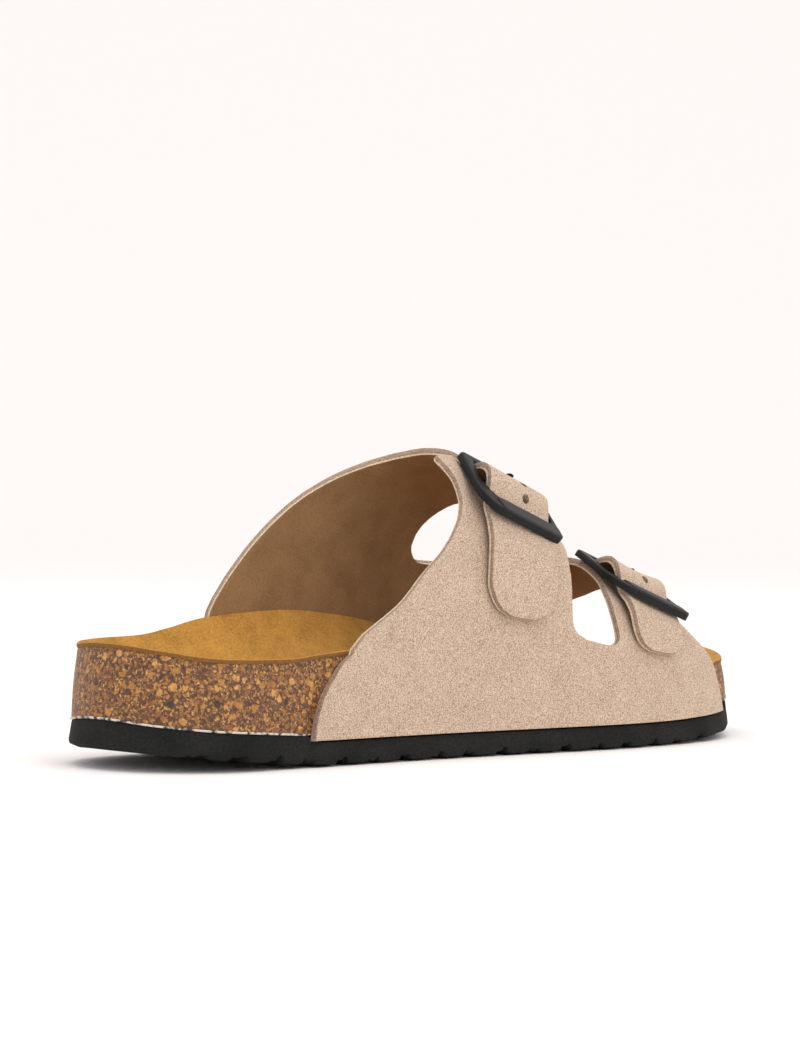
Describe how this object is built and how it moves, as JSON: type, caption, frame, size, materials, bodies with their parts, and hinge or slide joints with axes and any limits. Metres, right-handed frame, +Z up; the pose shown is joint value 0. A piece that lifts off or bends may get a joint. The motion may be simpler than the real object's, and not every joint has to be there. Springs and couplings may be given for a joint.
{
  "type": "two-strap slide sandal",
  "caption": "Right-foot backless slide with a dished cork footbed, thin sheet sole and a pair of wide buckled straps over the instep and toes.",
  "frame": {"origin": "centre of the bounding box on the floor, under the middle of the sole", "axes": "+Y from heel to toe, +X to the outer side of the right foot, +Z up"},
  "size_m": [0.0958, 0.2618, 0.092],
  "materials": {
    "black_sheet_sole": "matt black foamed sheet sole",
    "cork": "pressed cork granules with a thin sealing coat",
    "ochre_suede": "ochre suede liner with a short nap",
    "taupe_suede": "taupe suede outside, smooth tan lining inside",
    "black_moulding": "matt black moulded buckle"
  },
  "bodies": {
    "root": {"outsole": "black_sheet_sole", "footbed": "cork", "insole": "ochre_suede", "upper": "taupe_suede", "buckle_instep": "black_moulding", "buckle_front": "black_moulding", "pin_instep": "black_moulding", "pin_front": "black_moulding"}
  },
  "joints": []
}
